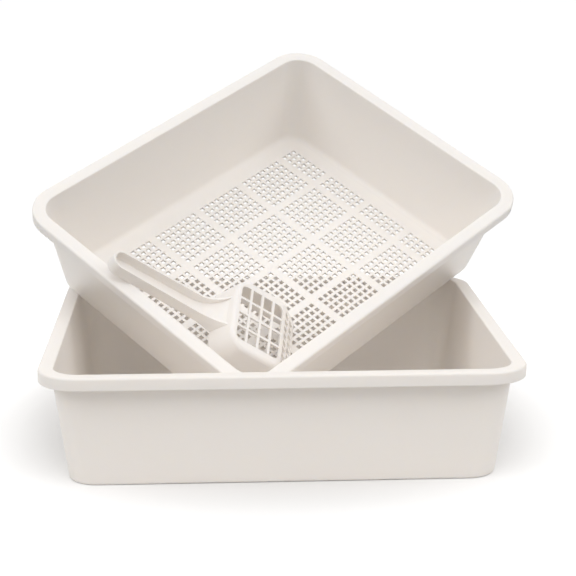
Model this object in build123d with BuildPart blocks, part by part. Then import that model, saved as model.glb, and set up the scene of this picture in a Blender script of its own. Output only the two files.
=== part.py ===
from build123d import *
from math import atan, cos, degrees, hypot, radians, sin
import os

# A sifting litter box of three mouldings: a base pan, a sieve tray propped cornerwise in the pan,
# and a scoop that leans upside down in the tray with its handle over the tray's rim.
# Millimetres. X runs along the pan, Y towards its back, Z up.
# The origin is the middle of the pan's underside.

# Base pan
pan_length = 430.0  # over the rim
pan_width = 380.0  # over the rim
pan_height = 105.0
pan_base_inset = 23.5  # base edge in from the rim's outer edge

# Sieve tray
tray_end_step = 7.6  # nested, its ends lie on the pan's rim, this far inside the rim's edge
tray_side_step = 21.7  # and its long sides hang free inside the pan's opening
tray_height = 102.5
tray_base_inset = 26.4

# Rim and walls, alike on the pan and the tray
wall = 2.6
rim_width = 14.0  # flat top, from the outer edge to the opening
rim_corner = 38.0
skirt_depth = 11.4  # the edge that is turned down round the rim
rim_bevel = 1.2  # its two upper edges
base_round = 6.0  # bottom edge, outside
floor_bevel = 5.0  # where the floor meets the walls, inside

# Sieve floor: panels of square holes with plain bands between them
sieve_end_margin = 20.8  # from the foot of an end wall to the first hole
sieve_side_margin = 22.7
sieve_band = 9.3  # plain band between two panels
sieve_bar = 5.6  # thin bar between two holes
holes_along = [2, 4, 4, 4, 4, 2]  # holes of each panel, along the tray
holes_across = [4, 4, 4, 4]

# How the tray stands: its low corner on the pan's floor, its bottom edges on two rims of the pan
tray_yaw = 39.7
low_corner_x = -28.0
low_corner_y = -13.2
seat_gap = 0.15  # air left where one piece rests on another

# Scoop, one moulding: a basket head and a channel handle
scoop_length = 216.0
scoop_wall = 2.2
head_width = 92.0
head_length = 93.0
head_depth = 31.0  # from the mouth to the outside of the bottom plate
head_back_lean = 7.0  # how far the back wall leans in from mouth to plate
head_back_corner = 20.0
head_edge_round = 5.0
lip_height = 11.5
lip_lean = 1.5
plate_front = 28.0  # from the lip back to where the plate turns down to the tip
plate_front_round = 15.0
lip_round = 6.0
grille_columns = 4
grille_rows = 4
grille_bar = 2.6
grille_corner = 6.0
grille_back_border = 5.7  # plain plate behind the first column
grille_front_border = 1.3
grille_side_border = 10.7
tip_columns = 2
tip_rows_per_row = 2  # narrow slots of the tip beside each row of the plate
tip_border = 5.3  # plain tip before and after its slots
handle_end_width = 22.0
handle_neck_width = 24.4
handle_flare_width = 38.6  # where its edges run out on the head
neck_from_lip = 117.0  # where the handle starts to flare and climb to the head
flare_from_lip = 87.0
flange_height = 12.5
flange_top_at_head = 25.0
ramp_from_lip = 122.0  # where the channel's floor starts to climb
ramp_below_plate = 5.0  # where it runs into the head
hang_hole = 7.0

# How the scoop lies: its lip on the sieve floor, an edge of its handle on the tray's rim
scoop_heading = -50.7  # from the tray's length
lip_from_rim = 108.5  # middle of the lip in from the opening's edge at the tray's low end
lip_wall_gap = 1.8  # near corner of the lip from the bevel at the foot of the side wall

tray_length = pan_length - 2 * tray_end_step
tray_width = pan_width - 2 * tray_side_step
body_inset = rim_width - wall  # outside of the walls under the rim
base_corner = rim_corner - body_inset
tray_base_length = tray_length - 2 * tray_base_inset
tray_base_width = tray_width - 2 * tray_base_inset


def bisect(gap, low, high):
    """Where a gap that grows from below zero at low to above zero at high is closed."""
    for _ in range(40):
        middle = (low + high) / 2
        if gap(middle) < 0:
            low = middle
        else:
            high = middle
    return (low + high) / 2


def dot(a, b):
    return a[0] * b[0] + a[1] * b[1] + a[2] * b[2]


def cross(a, b):
    return (a[1] * b[2] - a[2] * b[1], a[2] * b[0] - a[0] * b[2], a[0] * b[1] - a[1] * b[0])


def blend(a, b, angle):
    """The unit vector at an angle from a towards b."""
    return tuple(p * cos(angle) + q * sin(angle) for p, q in zip(a, b))


# The tray's resting place. Its outside below the rim is a core grown by the bottom rounding:
# the core has a flat base and walls that lean out evenly.
tray_lean = atan((tray_base_inset - body_inset) / (tray_height - wall))
core_inset = base_round * (1 - sin(tray_lean)) / cos(tray_lean)
core_radius = base_corner - base_round
core_corner_x = tray_base_length / 2 - core_inset - core_radius
core_corner_y = tray_base_width / 2 - core_inset - core_radius


def tray_axes(rise, roll):
    """The tray's own X, Y and Z when its length climbs by rise and it is rolled about its length."""
    yaw = radians(tray_yaw)
    along = (cos(rise) * cos(yaw), cos(rise) * sin(yaw), sin(rise))
    level = (-sin(yaw), cos(yaw), 0.0)
    upright = cross(along, level)
    across = blend(level, upright, roll)
    return along, across, cross(along, across)


def tray_origin(axes):
    """The middle of the tray's underside, with the low corner resting on the pan's floor."""
    slope = hypot(axes[0][2], axes[1][2])
    low = (
        -core_corner_x - core_radius * axes[0][2] / slope,
        -core_corner_y - core_radius * axes[1][2] / slope,
        base_round,
    )
    lowest = [sum(low[i] * axes[i][k] for i in range(3)) for k in range(3)]
    floor_height = wall + seat_gap + base_round
    return (low_corner_x - lowest[0], low_corner_y - lowest[1], floor_height - lowest[2])


def skin_distance(x, y, z):
    """From a point in the tray's own frame to the tray's outside below the rim."""
    dx = abs(x) - core_corner_x
    dy = abs(y) - core_corner_y
    side = hypot(max(dx, 0), max(dy, 0)) + min(max(dx, dy), 0) - core_radius
    drop = z - base_round
    if side * sin(tray_lean) + drop * cos(tray_lean) > 0:
        core_distance = side * cos(tray_lean) - drop * sin(tray_lean)
    else:
        core_distance = hypot(max(side, 0), drop)
    return core_distance - base_round


def opening_edges(height, base_inset):
    """Inset and height of the two edges that the bevel leaves at a tub's opening."""
    lean = (base_inset - body_inset) / (height - wall)
    return [(rim_width - rim_bevel, height), (rim_width + lean * rim_bevel, height - rim_bevel)]


def rim_line(side):
    """Points along the edges of the pan's opening, on the side of +X or -X."""
    points = []
    for inset, height in opening_edges(pan_height, pan_base_inset):
        radius = rim_corner - inset
        half_x = pan_length / 2 - inset
        half_y = pan_width / 2 - inset
        for i in range(-100, 101):
            points.append((side * half_x, i / 100 * (half_y - radius), height))
        for i in range(1, 46):
            turn = radians(2 * i)
            x = side * (half_x - radius + radius * cos(turn))
            y = half_y - radius + radius * sin(turn)
            points += [(x, y, height), (x, -y, height)]
    return points


def rim_gap(points, rise, roll):
    """The least air between the tray and one side of the pan's rim, less what is left there."""
    axes = tray_axes(rise, roll)
    origin = tray_origin(axes)
    least = min(
        skin_distance(*(dot([p - o for p, o in zip(point, origin)], axis) for axis in axes))
        for point in points
    )
    return least - seat_gap


left_rim = rim_line(-1)
right_rim = rim_line(1)
tray_rise = radians(20.0)
for _ in range(8):
    tray_roll = bisect(lambda roll: rim_gap(left_rim, tray_rise, roll), radians(5), radians(60))
    tray_rise = bisect(lambda rise: rim_gap(right_rim, rise, tray_roll), radians(2), radians(50))
tray_x, tray_y, tray_z = tray_axes(tray_rise, tray_roll)
tray_at = tray_origin((tray_x, tray_y, tray_z))
tray_plane = Plane(origin=tray_at, x_dir=tray_x, z_dir=tray_z)

# The scoop's resting place, in the tray's frame: the lip lies flat on the sieve floor,
# and the near lower edge of the handle crosses the bevel at the opening's edge.
heading = radians(scoop_heading)
scoop_across = (-sin(heading), cos(heading), 0.0)
opening_edge = tray_length / 2 - rim_width
floor_edge = tray_width / 2 - tray_base_inset - wall - floor_bevel
lip_middle = (
    lip_from_rim - opening_edge,
    head_width / 2 * cos(heading) + lip_wall_gap - floor_edge,
    wall + seat_gap,
)
handle_end_x = handle_end_width / 2 - scoop_length  # middle of the handle's round end


def scoop_axes(pitch):
    """The scoop's own X, towards the lip, and Z, out of its plate, when it slopes down by pitch."""
    level = (cos(heading), sin(heading), 0.0)
    along = blend(level, (0.0, 0.0, -1.0), pitch)
    return along, cross(along, scoop_across)


def handle_gap(pitch):
    """Air between the handle's near lower edge and the tray's rim, less what is left there."""
    along, _ = scoop_axes(pitch)
    ends = []
    for x, half in ((handle_end_x, handle_end_width / 2), (-neck_from_lip, handle_neck_width / 2)):
        ends.append([m + x * a - half * c for m, a, c in zip(lip_middle, along, scoop_across)])
    edge = [q - p for p, q in zip(*ends)]
    across_both = cross(edge, (0.0, 1.0, 0.0))
    size = hypot(*across_both) * (1 if across_both[2] > 0 else -1)
    gaps = []
    for inset, height in opening_edges(tray_height, tray_base_inset):
        rim = (inset - tray_length / 2, 0.0, height)
        gaps.append(dot([p - r for p, r in zip(ends[0], rim)], across_both) / size)
    return min(gaps) - seat_gap


scoop_x, scoop_z = scoop_axes(bisect(handle_gap, radians(5), radians(75)))


def from_tray(v):
    """A direction given in the tray's frame, in the frame of the whole box."""
    return tuple(v[0] * a + v[1] * b + v[2] * c for a, b, c in zip(tray_x, tray_y, tray_z))


scoop_at = tuple(o + v for o, v in zip(tray_at, from_tray(lip_middle)))
scoop_plane = Plane(origin=scoop_at, x_dir=from_tray(scoop_x), z_dir=from_tray(scoop_z))


def side_profile(base, across, size, low, high, low_inset, high_inset):
    """A block's leaning outline seen along one of its sides, with its own middle on the base's axis."""
    with BuildSketch(Plane(origin=base.origin, x_dir=across, z_dir=across.cross(base.z_dir))) as profile:
        with BuildLine():
            Polyline(
                (low_inset - size / 2, low),
                (high_inset - size / 2, high),
                (size / 2 - high_inset, high),
                (size / 2 - low_inset, low),
                close=True,
            )
        make_face()
    return profile.sketch


def leaning_block(base, length, width, low, high, low_inset, high_inset, corner):
    """A block between two heights whose four sides lean out evenly, with round corners."""
    with BuildPart() as block:
        extrude(side_profile(base, base.x_dir, length, low, high, low_inset, high_inset), width, both=True)
        ends = side_profile(base, base.y_dir, width, low, high, low_inset, high_inset)
        extrude(ends, length, both=True, mode=Mode.INTERSECT)
        corners = block.edges().filter_by(lambda edge: abs(edge.tangent_at(0.5).dot(base.z_dir)) > 0.5)
        fillet(corners, corner)
    return block


def tub_body(base, length, width, height, base_inset):
    """The outside of a tub below its rim."""
    corner = rim_corner - body_inset
    body = leaning_block(base, length, width, 0, height - wall, base_inset, body_inset, corner)
    with body:
        fillet(body.edges().group_by(Axis(base.origin, base.z_dir))[0], base_round)
    return body.part


def tub_hollow(base, length, width, height, base_inset):
    """What a tub holds, carried on a little above its rim."""
    lean = (base_inset - body_inset) / (height - wall)
    low_inset = base_inset + wall
    hollow = leaning_block(
        base, length, width, wall, height + wall, low_inset, low_inset - lean * height, rim_corner - rim_width
    )
    with hollow:
        chamfer(hollow.edges().group_by(Axis(base.origin, base.z_dir))[0], floor_bevel)
    return hollow.part


def rim(base, length, width, height):
    """Adds a flat rim with an edge that is turned down."""
    skirt_base = base.offset(height - skirt_depth)
    with BuildSketch(skirt_base) as over_all:
        RectangleRounded(length, width, rim_corner)
    extrude(over_all.sketch, skirt_depth)
    with BuildSketch(skirt_base) as under_rim:
        RectangleRounded(length - 2 * wall, width - 2 * wall, rim_corner - wall)
    extrude(under_rim.sketch, skirt_depth - wall, mode=Mode.SUBTRACT)


def bevel_rim(base):
    """Takes the sharpness off both upper edges of a tub's rim."""
    chamfer(faces().sort_by(Axis(base.origin, base.z_dir))[-1].edges(), rim_bevel)


def hole_rows(length, counts):
    """The size of a hole and the middles of all rows of holes in panels that fill a length."""
    bars = sum(n - 1 for n in counts) * sieve_bar + (len(counts) - 1) * sieve_band
    hole = (length - bars) / sum(counts)
    middles = []
    edge = -length / 2
    for n in counts:
        for _ in range(n):
            middles.append(edge + hole / 2)
            edge += hole + sieve_bar
        edge += sieve_band - sieve_bar
    return hole, middles


pan_sizes = (Plane.XY, pan_length, pan_width, pan_height)
pan_body = tub_body(*pan_sizes, pan_base_inset)
pan_hollow = tub_hollow(*pan_sizes, pan_base_inset)
with BuildPart() as pan:
    rim(*pan_sizes)
    add(pan_body)
    add(pan_hollow, mode=Mode.SUBTRACT)
    bevel_rim(Plane.XY)

floor_length = tray_base_length - 2 * wall
floor_width = tray_base_width - 2 * wall
hole_x, columns = hole_rows(floor_length - 2 * sieve_end_margin, holes_along)
hole_y, rows = hole_rows(floor_width - 2 * sieve_side_margin, holes_across)

tray_sizes = (tray_plane, tray_length, tray_width, tray_height)
tray_body = tub_body(*tray_sizes, tray_base_inset)
tray_hollow = tub_hollow(*tray_sizes, tray_base_inset)
with BuildPart() as tray:
    rim(*tray_sizes)
    add(tray_body)
    add(tray_hollow, mode=Mode.SUBTRACT)
    bevel_rim(tray_plane)
    with BuildSketch(tray_plane) as sieve:
        with Locations(*[(x, y) for x in columns for y in rows]):
            Rectangle(hole_x, hole_y)
    extrude(amount=wall, mode=Mode.SUBTRACT)


# Scoop. Its own frame has the lip's middle at the origin, X towards the lip and Z out of the plate.
scoop_side = Plane(origin=scoop_at, x_dir=scoop_plane.x_dir, z_dir=-scoop_plane.y_dir)
scoop_length_axis = Axis(scoop_at, scoop_plane.x_dir)
scoop_across_axis = Axis(scoop_at, scoop_plane.y_dir)
scoop_up_axis = Axis(scoop_at, scoop_plane.z_dir)


def head_form(shrink):
    """The head's outside, or with the wall as shrink its hollow, which goes on below the mouth."""
    foot = -2 * shrink
    back = -head_length + head_back_lean * foot / head_depth
    front = -lip_lean * foot / lip_height
    with BuildPart() as form:
        with BuildSketch(scoop_side):
            with BuildLine():
                Polyline(
                    (back, foot),
                    (-head_length + head_back_lean, head_depth),
                    (-plate_front, head_depth),
                    (-lip_lean, lip_height),
                    (front, foot),
                    close=True,
                )
            make_face()
            if shrink:
                offset(amount=-shrink, kind=Kind.INTERSECTION)
        extrude(amount=head_width / 2 - shrink, both=True)
        ridges = form.edges().filter_by(scoop_across_axis).sort_by(scoop_length_axis)
        upper = ridges.filter_by_position(scoop_up_axis, lip_height / 2, 2 * head_depth)
        fillet(upper.sort_by(scoop_length_axis)[1], plate_front_round - shrink)
        ridges = form.edges().filter_by(scoop_across_axis)
        lip_top = ridges.filter_by_position(scoop_up_axis, lip_height / 2, lip_height + lip_round)
        fillet(lip_top.sort_by(scoop_length_axis)[-1], lip_round - shrink)
        back_wall = form.faces().sort_by(scoop_length_axis)[0]
        upright = [e for e in back_wall.edges() if abs(e.tangent_at(0.5).dot(scoop_plane.y_dir)) < 0.5]
        fillet(upright, head_back_corner - shrink)
        plate = form.faces().filter_by(scoop_up_axis).sort_by(scoop_up_axis)[-1]
        if not shrink:
            fillet(plate.edges().sort_by(scoop_length_axis)[0], head_edge_round)
    return form.part


def handle_outline(inset):
    """Half of the handle's plan, from its round end to where it runs into the head, then mirrored."""
    half_end = handle_end_width / 2 - inset
    half_neck = handle_neck_width / 2 - inset
    half_flare = handle_flare_width / 2 - inset
    head_x = -flare_from_lip + head_back_lean
    with BuildSketch(scoop_plane) as plan:
        with BuildLine():
            end = CenterArc((handle_end_x, 0), half_end, 90, 90)
            side = Line(end @ 0, (-neck_from_lip, half_neck))
            flare = TangentArc(side @ 1, (-flare_from_lip, half_flare), tangent=side % 1)
            Polyline(flare @ 1, (head_x, half_flare), (head_x, 0), end @ 1)
        make_face()
        mirror(about=Plane.XZ)
    return plan.sketch


head_outside = head_form(0)
head_hollow = head_form(scoop_wall)
handle_plan = handle_outline(0)
channel_plan = handle_outline(scoop_wall)
plate_back = head_length - head_back_lean  # from the lip back to the plate's back edge
ramp_top = (-plate_back, head_depth - ramp_below_plate)
plate_length = plate_back - plate_front
grille_length = plate_length - grille_back_border - grille_front_border
grille_width = head_width - 2 * grille_side_border
column_pitch = (grille_length + grille_bar) / grille_columns
row_pitch = (grille_width + grille_bar) / grille_rows
grille_x = -plate_back + grille_back_border + grille_length / 2
tip_run = plate_front - lip_lean
tip_fall = head_depth - lip_height
tip_length = hypot(tip_run, tip_fall)
tip_pitch = (tip_length - 2 * tip_border + grille_bar) / tip_columns
tip_row_pitch = row_pitch / tip_rows_per_row
tip_middle = scoop_side.from_local_coords((-lip_lean - tip_run / 2, lip_height + tip_fall / 2))
tip_down = scoop_plane.x_dir * (tip_run / tip_length) - scoop_plane.z_dir * (tip_fall / tip_length)
tip_plane = Plane(origin=tip_middle, x_dir=tip_down, z_dir=tip_down.cross(scoop_plane.y_dir))

with BuildPart() as scoop:
    # the channel's floor, which climbs to the head
    extrude(handle_plan, amount=2 * head_depth)
    with BuildSketch(scoop_side):
        with BuildLine():
            upper = Line((-scoop_length, scoop_wall), (-ramp_from_lip, scoop_wall))
            upper_ramp = TangentArc(upper @ 1, ramp_top, tangent=(1, 0))
            slope = upper_ramp % 1
            ramp_foot = upper_ramp @ 1 + Vector(slope.Y, -slope.X) * scoop_wall
            lower = Line((-scoop_length, 0), (-ramp_from_lip, 0))
            TangentArc(lower @ 1, ramp_foot, tangent=(1, 0))
            Line(upper @ 0, lower @ 0)
            Line(upper_ramp @ 1, ramp_foot)
        make_face()
    extrude(amount=head_width, both=True, mode=Mode.INTERSECT)

    # the channel's walls, whose upper edges climb and run out on the head
    extrude(handle_plan - channel_plan, amount=flange_top_at_head)
    with BuildSketch(scoop_side):
        with BuildLine():
            level = Line((-2 * scoop_length, flange_height), (-neck_from_lip, flange_height))
            climb = TangentArc(level @ 1, (-flare_from_lip, flange_top_at_head), tangent=(1, 0))
            above = 2 * head_depth
            Polyline(climb @ 1, (-flare_from_lip, above), (-2 * scoop_length, above), level @ 0)
        make_face()
    extrude(amount=head_width, both=True, mode=Mode.SUBTRACT)

    # the head, hollow and open at its mouth
    add(head_outside)
    add(head_hollow, mode=Mode.SUBTRACT)

    # the grille of the plate, the narrow slots of the tip and the hole to hang it by
    with BuildSketch(scoop_plane.offset(head_depth)):
        with Locations((grille_x, 0)):
            with GridLocations(column_pitch, row_pitch, grille_columns, grille_rows):
                Rectangle(column_pitch - grille_bar, row_pitch - grille_bar)
            RectangleRounded(grille_length, grille_width, grille_corner, mode=Mode.INTERSECT)
    extrude(amount=-2 * scoop_wall, mode=Mode.SUBTRACT)
    with BuildSketch(tip_plane):
        with GridLocations(tip_pitch, tip_row_pitch, tip_columns, grille_rows * tip_rows_per_row):
            Rectangle(tip_pitch - grille_bar, tip_row_pitch - grille_bar)
    extrude(amount=2 * scoop_wall, both=True, mode=Mode.SUBTRACT)
    with BuildSketch(scoop_plane):
        with Locations((handle_end_x, 0)):
            Circle(hang_hole / 2)
    extrude(amount=scoop_wall, mode=Mode.SUBTRACT)

os.makedirs("parts", exist_ok=True)
pan.part.label = "base_pan"
tray.part.label = "sieve_tray"
scoop.part.label = "scoop"
export_step(pan.part, "parts/base_pan.step")
export_step(tray.part, "parts/sieve_tray.step")
export_step(scoop.part, "parts/scoop.step")

print("tray climbs", round(degrees(tray_rise), 2), "and rolls", round(degrees(tray_roll), 2), "degrees")
print("tray stands at", [round(v, 2) for v in tray_at])
print("scoop lip at", [round(v, 2) for v in scoop_at])
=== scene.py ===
# %% [markdown]
# # A sifting litter box
# Three mouldings of ivory plastic: a base pan, a sieve tray propped cornerwise in it, and a scoop.
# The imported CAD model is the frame. It says where everything is, in metres, and carries the scoop.

# %% Load the frame
from math import atan2, cos, degrees, pi, radians, sin

import bmesh
import bpy
from mathutils import Matrix, Vector


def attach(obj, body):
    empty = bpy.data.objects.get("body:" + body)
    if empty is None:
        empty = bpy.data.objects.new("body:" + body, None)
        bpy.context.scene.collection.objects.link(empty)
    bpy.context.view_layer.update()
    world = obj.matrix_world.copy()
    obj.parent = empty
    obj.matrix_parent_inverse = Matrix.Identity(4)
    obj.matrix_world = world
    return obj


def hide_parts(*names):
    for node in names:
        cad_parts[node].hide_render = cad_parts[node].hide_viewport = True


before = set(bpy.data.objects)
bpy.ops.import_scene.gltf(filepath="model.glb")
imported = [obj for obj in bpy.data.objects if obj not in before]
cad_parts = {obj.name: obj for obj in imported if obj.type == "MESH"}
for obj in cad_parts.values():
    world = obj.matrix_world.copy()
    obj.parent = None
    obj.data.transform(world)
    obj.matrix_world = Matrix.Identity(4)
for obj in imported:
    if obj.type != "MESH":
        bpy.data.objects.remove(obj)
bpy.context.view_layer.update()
mm = 0.001

# %% [markdown]
# ## Camera
# The photograph looks slightly down on the front of the pan through a long lens.
# A camera could be turned by three angles, but those are hard to read.
# A point to stand on and a point to look at say the same, and the lens sets how much it sees.

# %% Camera
camera_place = Vector((-0.0640, -1.4305, 0.4753))
camera_aim = Vector((0.0107, -0.0212, 0.1424))
camera_lens, camera_sensor = 94.65, 36.0  # millimetres


def facing(place, aim):
    """The turn that points a camera or a lamp from its place at an aim."""
    return (Vector(aim) - Vector(place)).to_track_quat("-Z", "Y").to_euler()


camera_data = bpy.data.cameras.new("camera")
camera_data.lens = camera_lens
camera_data.sensor_width = camera_sensor
camera = bpy.data.objects.new("camera", camera_data)
camera.location = camera_place
camera.rotation_euler = facing(camera_place, camera_aim)
bpy.context.scene.collection.objects.link(camera)
bpy.context.scene.camera = camera
print("camera looks", [round(v, 3) for v in (camera_aim - camera_place).normalized()])

# %% [markdown]
# ## Studio
# The ground in the photograph is pure white and keeps only a thin soft shadow round the pan.
# A white floor alone comes out a little grey under a plain light,
# and more light would burn out the pale plastic.
# So the floor is a plain matte sheet round the pan,
# where it takes the shadow and throws light up at the walls.
# Further out it fades to a glow that only the camera sees,
# which Light Path tells from the rays that light the object.

# %% What only the camera sees
camera_ray, mirror_and_glass_rays = "Is Camera Ray", ("Is Glossy Ray", "Is Transmission Ray")


def camera_only(nodes, links):
    """A number that is 1 for what the camera sees, in mirrors and through glass too, and else 0."""
    path = nodes.new("ShaderNodeLightPath")
    seen = path.outputs[camera_ray]
    for other in mirror_and_glass_rays:
        either = nodes.new("ShaderNodeMath")
        either.operation = "MAXIMUM"
        links.new(seen, either.inputs[0])
        links.new(path.outputs[other], either.inputs[1])
        seen = either.outputs[0]
    return seen


print("the camera's rays:", camera_ray, *mirror_and_glass_rays)

# %% Floor finish
pale_near, pale_far = 0.80, 0.12
pale_start, pale_end = 0.36, 0.85  # metres from the pan's middle
glow_near, glow_far = 0.0, 0.92
glow_start, glow_end = 0.15, 0.50  # metres from the pan's middle

floor_finish = bpy.data.materials.new("studio_floor")
floor_finish.use_nodes = True
floor_nodes, floor_links = floor_finish.node_tree.nodes, floor_finish.node_tree.links
floor_nodes.clear()
where = floor_nodes.new("ShaderNodeTexCoord")
distance = floor_nodes.new("ShaderNodeVectorMath")
distance.operation = "LENGTH"
floor_links.new(where.outputs["Object"], distance.inputs[0])


def outward(near, far, start, end):
    """A number that is near up to a distance from the pan's middle and goes to far at another."""
    fade = floor_nodes.new("ShaderNodeMapRange")
    fade.interpolation_type = "SMOOTHSTEP"
    fade.inputs["From Min"].default_value = start
    fade.inputs["From Max"].default_value = end
    fade.inputs["To Min"].default_value = near
    fade.inputs["To Max"].default_value = far
    floor_links.new(distance.outputs["Value"], fade.inputs["Value"])
    return fade.outputs["Result"]


matte = floor_nodes.new("ShaderNodeBsdfDiffuse")
floor_links.new(outward(pale_near, pale_far, pale_start, pale_end), matte.inputs["Color"])
shown = floor_nodes.new("ShaderNodeMath")
shown.operation = "MULTIPLY"
floor_links.new(camera_only(floor_nodes, floor_links), shown.inputs[0])
floor_links.new(outward(glow_near, glow_far, glow_start, glow_end), shown.inputs[1])
glow = floor_nodes.new("ShaderNodeEmission")
floor_links.new(shown.outputs[0], glow.inputs["Strength"])
both = floor_nodes.new("ShaderNodeAddShader")
floor_links.new(matte.outputs[0], both.inputs[0])
floor_links.new(glow.outputs[0], both.inputs[1])
floor_output = floor_nodes.new("ShaderNodeOutputMaterial")
floor_links.new(both.outputs[0], floor_output.inputs["Surface"])
print("floor fades from", pale_near, "to", pale_far, "and glows from", glow_near, "to", glow_far)

# %% Floor
floor_reach = 40.0  # metres
half = floor_reach / 2
floor_corners = [(-half, -half, 0), (half, -half, 0), (half, half, 0), (-half, half, 0)]
floor_mesh = bpy.data.meshes.new("studio_floor")
floor_mesh.from_pydata(floor_corners, [], [(0, 1, 2, 3)])
floor_mesh.materials.append(floor_finish)
floor = bpy.data.objects.new("studio_floor", floor_mesh)
bpy.context.scene.collection.objects.link(floor)
print("floor", floor_reach, "m across")

# %% [markdown]
# ## Sky
# An even sky would light the walls as much as the rims and leave the pieces flat.
# This one is brighter overhead than at the sides, as under a studio ceiling,
# and that shades the wall under each rim. The camera sees plain white instead.

# %% Sky
sky_side, sky_top = 0.23, 0.97
studio_tint = (1.0, 0.995, 0.99)
white_tint = (1.0, 1.0, 1.0)

world = bpy.data.worlds.new("studio")
bpy.context.scene.world = world
world.use_nodes = True
world_nodes, world_links = world.node_tree.nodes, world.node_tree.links
world_nodes.clear()
ray = world_nodes.new("ShaderNodeTexCoord")
height = world_nodes.new("ShaderNodeSeparateXYZ")
world_links.new(ray.outputs["Generated"], height.inputs[0])
level = world_nodes.new("ShaderNodeMapRange")
level.inputs["To Min"].default_value = sky_side
level.inputs["To Max"].default_value = sky_top
world_links.new(height.outputs["Z"], level.inputs["Value"])
sky = world_nodes.new("ShaderNodeBackground")
sky.inputs["Color"].default_value = (*studio_tint, 1.0)
world_links.new(level.outputs["Result"], sky.inputs["Strength"])
white = world_nodes.new("ShaderNodeBackground")
white.inputs["Color"].default_value = (*white_tint, 1.0)
white.inputs["Strength"].default_value = 1.0
choice = world_nodes.new("ShaderNodeMixShader")
world_links.new(camera_only(world_nodes, world_links), choice.inputs["Fac"])
world_links.new(sky.outputs[0], choice.inputs[1])
world_links.new(white.outputs[0], choice.inputs[2])
world_output = world_nodes.new("ShaderNodeOutputWorld")
world_links.new(choice.outputs[0], world_output.inputs["Surface"])
print("sky from", sky_side, "at the sides to", sky_top, "overhead")

# %% [markdown]
# ## Lamps
# Three large soft boxes: one hangs high in front, and two stand lower at the sides,
# where they reach the walls. Small lamps would do for brightness, but would throw hard shadows.
# They stay weak, because the rims should come out just short of white, as their colour is written.

# %% Lamps
lamp_aim = (0.0, 0.0, 0.15)
lamp_size = 1.6  # metres


def soft_lamp(name, place, watts):
    lamp_data = bpy.data.lights.new(name, "AREA")
    lamp_data.shape = "DISK"
    lamp_data.size = lamp_size
    lamp_data.energy = watts
    lamp_data.color = studio_tint
    lamp = bpy.data.objects.new(name, lamp_data)
    lamp.location = place
    lamp.rotation_euler = facing(place, lamp_aim)
    bpy.context.scene.collection.objects.link(lamp)


soft_lamp("left_box", (-2.2, -1.0, 1.7), 15.0)
soft_lamp("right_box", (2.2, -1.0, 1.7), 13.0)
soft_lamp("front_box", (0.1, -1.8, 2.3), 16.0)
bpy.context.scene.view_settings.view_transform = "Standard"

# %% [markdown]
# ## Ivory plastic
# All three pieces are moulded from warm ivory plastic with a satin skin, the pan a shade deeper.
# A plain colour would look like paper: the real walls are thin enough for some light to come
# through, which lifts the shade inside the tubs and warms it.
# Subsurface scattering does that, with red light going further than blue.
# The colour clouds a little, as moulded colour does, and a fine grain breaks up the shine.
# The patterns read Object coordinates, so they stay on the piece when it moves.

# %% Plastic finish
plastic_ior, plastic_specular = 1.49, 0.4
smoothest, roughest = 0.40, 0.52
soak_share = 0.35
soak_reach = (5.5, 4.9, 4.0)  # millimetres for red, green and blue
cloud_scale, cloud_detail = 9.0, 4.0
grain_scale, grain_detail = 900.0, 2.0
grain_strength, grain_height = 0.06, 0.4 * mm


def noise(nodes, links, place, scale, detail):
    """A noise pattern on the given coordinates, from 0 to 1."""
    pattern = nodes.new("ShaderNodeTexNoise")
    pattern.inputs["Scale"].default_value = scale
    pattern.inputs["Detail"].default_value = detail
    links.new(place, pattern.inputs["Vector"])
    return pattern.outputs["Fac"]


def ivory_plastic(name, pale, deep):
    """Satin moulded plastic whose colour clouds between two tones."""
    finish = bpy.data.materials.new(name)
    finish.use_nodes = True
    nodes, links = finish.node_tree.nodes, finish.node_tree.links
    skin = nodes["Principled BSDF"]
    skin.inputs["IOR"].default_value = plastic_ior
    skin.inputs["Specular IOR Level"].default_value = plastic_specular
    skin.inputs["Subsurface Weight"].default_value = soak_share
    skin.inputs["Subsurface Radius"].default_value = soak_reach
    skin.inputs["Subsurface Scale"].default_value = mm
    place = nodes.new("ShaderNodeTexCoord").outputs["Object"]
    clouds = noise(nodes, links, place, cloud_scale, cloud_detail)
    tone = nodes.new("ShaderNodeMix")
    tone.data_type = "RGBA"
    tone.inputs["A"].default_value = (*pale, 1.0)
    tone.inputs["B"].default_value = (*deep, 1.0)
    links.new(clouds, tone.inputs["Factor"])
    links.new(tone.outputs["Result"], skin.inputs["Base Color"])
    shine = nodes.new("ShaderNodeMapRange")
    shine.inputs["To Min"].default_value = smoothest
    shine.inputs["To Max"].default_value = roughest
    links.new(clouds, shine.inputs["Value"])
    links.new(shine.outputs["Result"], skin.inputs["Roughness"])
    relief = nodes.new("ShaderNodeBump")
    relief.inputs["Strength"].default_value = grain_strength
    relief.inputs["Distance"].default_value = grain_height
    links.new(noise(nodes, links, place, grain_scale, grain_detail), relief.inputs["Height"])
    links.new(relief.outputs["Normal"], skin.inputs["Normal"])
    return finish


pan_tones = (0.905, 0.858, 0.814), (0.890, 0.838, 0.790)
tray_tones = (0.925, 0.884, 0.844), (0.910, 0.866, 0.824)
pan_plastic = ivory_plastic("pan_ivory", *pan_tones)
tray_plastic = ivory_plastic("tray_ivory", *tray_tones)
scoop_plastic = ivory_plastic("scoop_ivory", *tray_tones)
print("finishes", pan_plastic.name, tray_plastic.name, scoop_plastic.name)

# %% [markdown]
# ## A tub from its section
# The pan and the tray are the same kind of moulding: a thin wall that leans out, a flat rim
# and an edge turned down. A box with Solidify and Bevel would come near,
# but its roundings would differ from edge to edge.
# Such a tub is really one section carried round a rounded rectangle,
# so each point of the section becomes a ring.
# A ring is given by its inset from the rim's outer edge, its height and the radius of its corners.

# %% Rings of a tub
corner_steps = 14
round_steps = 6
quarters = ((1, 1), (-1, 1), (-1, -1), (1, -1))


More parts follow.
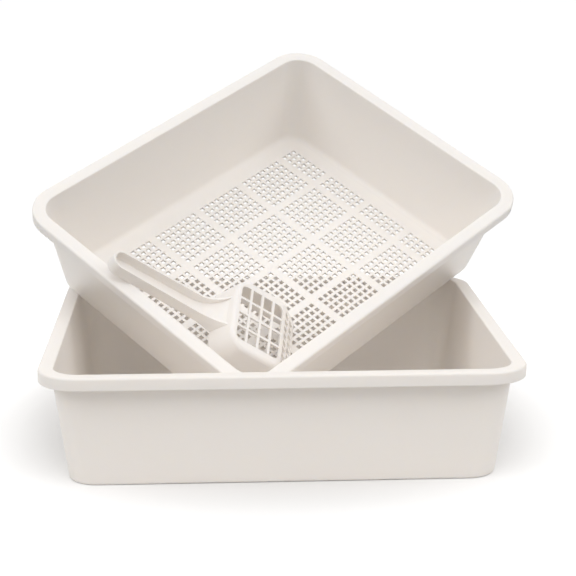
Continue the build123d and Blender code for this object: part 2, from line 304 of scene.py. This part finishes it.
def ring(length, width, inset, height, corner):
    """The points of one ring, from corner to corner."""
    points = []
    for turn, (side_x, side_y) in enumerate(quarters):
        middle_x = side_x * (length / 2 - inset - corner)
        middle_y = side_y * (width / 2 - inset - corner)
        for step in range(corner_steps + 1):
            angle = (turn + step / corner_steps) * pi / 2
            x = middle_x + corner * cos(angle)
            y = middle_y + corner * sin(angle)
            points.append((x, y, height))
    return points


def arc(inset, height, radius, start, end):
    """Points of the section along a rounding whose middle is given, angles in degrees."""
    turns = [radians(start + (end - start) * i / round_steps) for i in range(round_steps + 1)]
    return [(inset + radius * cos(t), height + radius * sin(t)) for t in turns]


print("a ring has", len(quarters) * (corner_steps + 1), "points, a rounding", round_steps + 1)

# %% Section of a tub
wall = 2.6 * mm
rim_width = 14.0 * mm
rim_corner = 38.0 * mm
skirt_depth = 11.4 * mm
skirt_edge_round = 1.1 * mm
rim_edge_round = 2.0 * mm
opening_round = 1.4 * mm
floor_round = 7.0 * mm
body_inset = rim_width - wall
inward, up, outside, down = 0, 90, 180, 270  # degrees, where insets grow inward


def foot_rings(base_inset, base_height, radius, lean, corner):
    """Rings where a floor rounds up into a leaning wall."""
    middle = base_inset + (radius * (1 + lean * lean) ** 0.5 - radius * lean)
    rings = []
    for inset, z in arc(middle, base_height + radius, radius, down, outside + degrees(lean)):
        wall_inset = base_inset - lean * (z - base_height)
        rings.append((inset, z, corner - max(inset - wall_inset, 0)))
    return rings


def tub_section(height, base_inset, base_round):
    """Inset, height and corner radius of each ring, from underneath over the rim to the inside."""
    lean = (base_inset - body_inset) / (height - wall)
    skirt_end = height - skirt_depth
    outer_corner = rim_corner - body_inset
    inner_corner = rim_corner - rim_width
    rings = foot_rings(base_inset, 0.0, base_round, lean, outer_corner)
    rings.append((body_inset, height - wall, outer_corner))
    rings.append((wall, height - wall, rim_corner - wall))
    rings.append((wall, skirt_end, rim_corner - wall))
    edges = arc(skirt_edge_round, skirt_end + skirt_edge_round, skirt_edge_round, down, outside)
    edges += arc(rim_edge_round, height - rim_edge_round, rim_edge_round, outside, up)
    edges += arc(rim_width - opening_round, height - opening_round, opening_round, up, inward)
    rings += [(inset, z, rim_corner - inset) for inset, z in edges]
    rings += reversed(foot_rings(base_inset + wall, wall, floor_round, lean, inner_corner))
    return rings


print("a wall of", round(wall / mm, 1), "mm under a rim of", round(rim_width / mm, 1), "mm")

# %% [markdown]
# ## Base pan
# The pan stands on the ground and carries the rest. Its CAD solid could stay,
# but it has flat bevels along the rim and the floor, where the real edges are round,
# and its foot is less sharp than the real one.
# So it is made again from the same sizes, with those edges as the photograph shows them.
# Faces join each ring to the next, and one face each closes the underside and the floor.
# A tub with a sieve has a gap there instead, and triangles fill what is left round it.

# %% Pan mesh
pan_length = 430.0 * mm
pan_width = 380.0 * mm
pan_height = 105.0 * mm
pan_base_inset = 23.5 * mm
pan_base_round = 3.0 * mm


def tub_mesh(name, length, width, height, base_inset, base_round, window=None):
    """A closed tub. A window, points round a gap in the floor, leaves room for a sieve."""
    shell = bmesh.new()
    rows = []
    for inset, z, corner in tub_section(height, base_inset, base_round):
        rows.append([shell.verts.new(p) for p in ring(length, width, inset, z, corner)])
    for lower, upper in zip(rows, rows[1:]):
        for i in range(len(lower)):
            j = (i + 1) % len(lower)
            shell.faces.new((lower[i], lower[j], upper[j], upper[i]))
    if window is None:
        shell.faces.new(reversed(rows[0]))
        shell.faces.new(rows[-1])
    else:
        for row, z in ((rows[0], 0.0), (rows[-1], wall)):
            edge = [shell.verts.new((x, y, z)) for x, y in window]
            loops = [shell.edges.get((row[i], row[i - 1])) for i in range(len(row))]
            loops += [shell.edges.new((edge[i], edge[i - 1])) for i in range(len(edge))]
            bmesh.ops.triangle_fill(shell, edges=loops, use_beauty=True, normal=(0, 0, 1))
    bmesh.ops.recalc_face_normals(shell, faces=shell.faces)
    mesh = bpy.data.meshes.new(name)
    shell.to_mesh(mesh)
    shell.free()
    return mesh


pan_mesh = tub_mesh("pan", pan_length, pan_width, pan_height, pan_base_inset, pan_base_round)
print("pan mesh of", len(pan_mesh.vertices), "points")

# %% Pan on its body
sharp_angle = radians(32)


def settle(name, mesh, finish, body, node):
    """Makes a mesh the piece that stands for a CAD node."""
    mesh.materials.clear()
    mesh.materials.append(finish)
    for face in mesh.polygons:
        face.use_smooth = True
    mesh.set_sharp_from_angle(angle=sharp_angle)
    piece = bpy.data.objects.new(name, mesh)
    bpy.context.scene.collection.objects.link(piece)
    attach(piece, body)
    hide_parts(node)
    return piece


pan = settle("pan", pan_mesh, pan_plastic, "pan", "base_pan")
print("pan box", [round(v, 4) for v in pan.dimensions])

# %% [markdown]
# ## Sieve floor
# The tray's floor has panels of small square holes with plain bands between them,
# more than a thousand holes in all.
# Cutting them one by one from a plate would be slow.
# A Geometry Nodes tree makes the floor from one grid instead:
# two lines of points for each row of holes, moved to the holes' edges.
# The squares between those lines are taken out, and what is left is given its thickness.
# The tree keeps the sizes as named inputs.

# %% Sieve sizes
# Holes in a row, holes before the first band, and holes between two bands.
hole_columns = {"count": 38, "first": 3, "panel": 8}
hole_rows = {"count": 28, "first": 7, "panel": 7}
sieve_sizes = {
    "Pitch Along": 7.49 * mm,
    "Pitch Across": 7.82 * mm,
    "Hole": 4.7 * mm,
    "Band Along": 9.5 * mm,
    "Band Across": 8.9 * mm,
    "Half Length": 166.0 * mm,
    "Half Width": 124.0 * mm,
    "Thickness": wall,
}

sieve_tree = bpy.data.node_groups.new("sieve_floor", "GeometryNodeTree")
sieve_nodes, sieve_links = sieve_tree.nodes, sieve_tree.links
sockets = sieve_tree.interface
sockets.new_socket("Geometry", in_out="OUTPUT", socket_type="NodeSocketGeometry")
for label, value in sieve_sizes.items():
    socket = sockets.new_socket(label, in_out="INPUT", socket_type="NodeSocketFloat")
    socket.default_value = value
sockets.new_socket("Material", in_out="INPUT", socket_type="NodeSocketMaterial")
given = sieve_nodes.new("NodeGroupInput").outputs
result = sieve_nodes.new("NodeGroupOutput")
print("sieve of", hole_columns["count"], "by", hole_rows["count"], "holes")

# %% Grid and its lines
def figure(operation, a, b=None):
    """A Math node of the tree. Each input is a number or another node's output."""
    node = sieve_nodes.new("ShaderNodeMath")
    node.operation = operation
    for socket, value in zip(node.inputs, (a, b)):
        if isinstance(value, (int, float)):
            socket.default_value = value
        elif value is not None:
            sieve_links.new(value, socket)
    return node.outputs[0]


def grid_place(number, across):
    """The two counts, along and across, of a grid's point or square from its number."""
    along = figure("FLOOR", figure("DIVIDE", figure("ADD", number, 0.5), across))
    return along, figure("FLOOR", figure("ADD", figure("MODULO", number, across), 0.5))


lines_along = 2 * hole_columns["count"] + 2
lines_across = 2 * hole_rows["count"] + 2
grid = sieve_nodes.new("GeometryNodeMeshGrid")
grid.inputs["Vertices X"].default_value = lines_along
grid.inputs["Vertices Y"].default_value = lines_across
number = sieve_nodes.new("GeometryNodeInputIndex").outputs[0]
line_along, line_across = grid_place(number, lines_across)
print("grid of", lines_along, "by", lines_across, "lines")

# %% Lines moved to the holes' edges
def line_place(line, count, first, panel, pitch, hole, band, edge):
    """Where a line of points lies along one way of the sieve, with its middle at 0."""
    past_edge = figure("SUBTRACT", line, 1)
    hole_number = figure("FLOOR", figure("DIVIDE", past_edge, 2))
    far_side = figure("MODULO", past_edge, 2)
    bands = figure("FLOOR", figure("DIVIDE", figure("ADD", hole_number, panel - first), panel))
    all_bands = (count - 1 + panel - first) // panel
    widening = figure("SUBTRACT", band, figure("SUBTRACT", pitch, hole))
    place = figure("MULTIPLY", hole_number, pitch)
    place = figure("ADD", place, figure("MULTIPLY", bands, widening))
    place = figure("ADD", place, figure("MULTIPLY", far_side, hole))
    reach = figure("ADD", figure("MULTIPLY", pitch, count - 1), hole)
    reach = figure("ADD", reach, figure("MULTIPLY", widening, all_bands))
    place = figure("SUBTRACT", place, figure("DIVIDE", reach, 2))
    place = figure("MAXIMUM", place, figure("MULTIPLY", edge, -1))
    place = figure("MINIMUM", place, edge)
    at_start = figure("LESS_THAN", line, 0.5)
    at_end = figure("GREATER_THAN", line, 2 * count + 0.5)
    between = figure("SUBTRACT", 1.0, figure("ADD", at_start, at_end))
    ends = figure("MULTIPLY", figure("SUBTRACT", at_end, at_start), edge)
    return figure("ADD", figure("MULTIPLY", place, between), ends)


along = line_place(
    line_along, **hole_columns, pitch=given["Pitch Along"], hole=given["Hole"],
    band=given["Band Along"], edge=given["Half Length"],
)
across = line_place(
    line_across, **hole_rows, pitch=given["Pitch Across"], hole=given["Hole"],
    band=given["Band Across"], edge=given["Half Width"],
)
place = sieve_nodes.new("ShaderNodeCombineXYZ")
sieve_links.new(along, place.inputs["X"])
sieve_links.new(across, place.inputs["Y"])
spread = sieve_nodes.new("GeometryNodeSetPosition")
sieve_links.new(grid.outputs["Mesh"], spread.inputs["Geometry"])
sieve_links.new(place.outputs[0], spread.inputs["Position"])
print("lines placed by", len(sieve_nodes), "nodes")

# %% Holes taken out
square_along, square_across = grid_place(number, lines_across - 1)
odd_along, odd_across = figure("MODULO", square_along, 2), figure("MODULO", square_across, 2)
is_hole = figure("GREATER_THAN", figure("MULTIPLY", odd_along, odd_across), 0.5)
drop_holes = sieve_nodes.new("GeometryNodeDeleteGeometry")
drop_holes.domain = "FACE"
sieve_links.new(spread.outputs["Geometry"], drop_holes.inputs["Geometry"])
sieve_links.new(is_hole, drop_holes.inputs["Selection"])
print("holes taken out", hole_columns["count"] * hole_rows["count"])

# %% Thickness and finish
merge_reach = 0.02 * mm

upward = sieve_nodes.new("ShaderNodeCombineXYZ")
upward.inputs["Z"].default_value = 1.0
raised = sieve_nodes.new("GeometryNodeExtrudeMesh")
raised.inputs["Individual"].default_value = False
sieve_links.new(drop_holes.outputs["Geometry"], raised.inputs["Mesh"])
sieve_links.new(upward.outputs[0], raised.inputs["Offset"])
sieve_links.new(given["Thickness"], raised.inputs["Offset Scale"])
underside = sieve_nodes.new("GeometryNodeFlipFaces")
sieve_links.new(drop_holes.outputs["Geometry"], underside.inputs["Mesh"])
together = sieve_nodes.new("GeometryNodeJoinGeometry")
sieve_links.new(underside.outputs["Mesh"], together.inputs["Geometry"])
sieve_links.new(raised.outputs["Mesh"], together.inputs["Geometry"])
closed = sieve_nodes.new("GeometryNodeMergeByDistance")
closed.inputs["Distance"].default_value = merge_reach
sieve_links.new(together.outputs["Geometry"], closed.inputs["Geometry"])
realized = sieve_nodes.new("GeometryNodeRealizeInstances")
sieve_links.new(closed.outputs["Geometry"], realized.inputs["Geometry"])
painted = sieve_nodes.new("GeometryNodeSetMaterial")
sieve_links.new(realized.outputs["Geometry"], painted.inputs["Geometry"])
sieve_links.new(given["Material"], painted.inputs["Material"])
sieve_links.new(painted.outputs["Geometry"], result.inputs["Geometry"])
print("sieve tree of", len(sieve_nodes), "nodes")

# %% Sieve floor mesh
sieve = bpy.data.objects.new("sieve_floor", bpy.data.meshes.new("sieve_floor"))
bpy.context.scene.collection.objects.link(sieve)
maker = sieve.modifiers.new("sieve", "NODES")
maker.node_group = sieve_tree
sieve_settings = {**sieve_sizes, "Material": tray_plastic}
for item in sieve_tree.interface.items_tree:
    if item.in_out == "INPUT":
        maker[item.identifier] = sieve_settings[item.name]
bpy.context.view_layer.update()
graph = bpy.context.evaluated_depsgraph_get()
sieve_mesh = bpy.data.meshes.new_from_object(sieve.evaluated_get(graph))
bpy.data.objects.remove(sieve)
print("sieve floor", len(sieve_mesh.polygons), "faces")

# %% [markdown]
# ## Sieve tray
# The tray is a second tub with a gap in its floor. The sieve could lie loose in the gap,
# but it is let in point by point, which leaves one closed shell, as the real moulding is.
# It leans in the pan on three places: its low corner on the pan's floor
# and two of its bottom edges on the pan's rim.
# Its mesh is made level and then laid there, so its object stays at the origin.

# %% Points round the sieve
touching = 0.01 * mm
half_length, half_width = sieve_sizes["Half Length"], sieve_sizes["Half Width"]


def on_border(point):
    """Whether a point lies on an end of the sieve, and whether it lies on a long side."""
    on_end = abs(abs(point.x) - half_length) < touching
    on_side = abs(abs(point.y) - half_width) < touching
    return on_end, on_side


border = [v.co for v in sieve_mesh.vertices if any(on_border(v.co)) and v.co.z < touching]
border.sort(key=lambda point: atan2(point.y, point.x))
window = [(point.x, point.y) for point in border]
print("sieve border of", len(window), "points")

# %% Sieve let into the tray
tray_length = 414.8 * mm
tray_width = 336.6 * mm
tray_height = 102.5 * mm
tray_base_inset = 26.4 * mm
tray_base_round = 6.0 * mm

tray_mesh = tub_mesh(
    "tray", tray_length, tray_width, tray_height, tray_base_inset, tray_base_round, window
)
joined = bmesh.new()
joined.from_mesh(sieve_mesh)
outer_faces = []
for face in joined.faces:
    places = [on_border(v.co) for v in face.verts]
    if any(all(place[way] for place in places) for way in (0, 1)):
        outer_faces.append(face)
bmesh.ops.delete(joined, geom=outer_faces, context="FACES")
joined.from_mesh(tray_mesh)
bmesh.ops.remove_doubles(joined, verts=joined.verts, dist=touching)
bmesh.ops.recalc_face_normals(joined, faces=joined.faces)
joined.to_mesh(tray_mesh)
print("open edges", sum(not edge.is_manifold for edge in joined.edges))
joined.free()

# %% Tray laid in the pan
tray_yaw, tray_climb, tray_roll = 39.7, 20.0, 27.48  # degrees
tray_place = Vector((2.05, 167.91, 118.56)) * mm

yaw = Matrix.Rotation(radians(tray_yaw), 4, "Z")
climb = Matrix.Rotation(radians(-tray_climb), 4, "Y")
roll = Matrix.Rotation(radians(tray_roll), 4, "X")
tray_mesh.transform(Matrix.Translation(tray_place) @ yaw @ climb @ roll)
tray = settle("tray", tray_mesh, tray_plastic, "tray", "sieve_tray")
print("tray", len(tray_mesh.polygons), "faces, box", [round(v, 4) for v in tray.dimensions])

# %% [markdown]
# ## Scoop
# The scoop lies upside down, its lip on the sieve and its handle over the tray's rim.
# It could be made again too, but its CAD solid already has the grille, the slotted tip
# and the channel handle, so it stays and is only painted.

# %% Scoop
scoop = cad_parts["scoop"]
for slot in scoop.material_slots:
    slot.material = scoop_plastic
print("scoop", len(scoop.data.polygons), "faces")
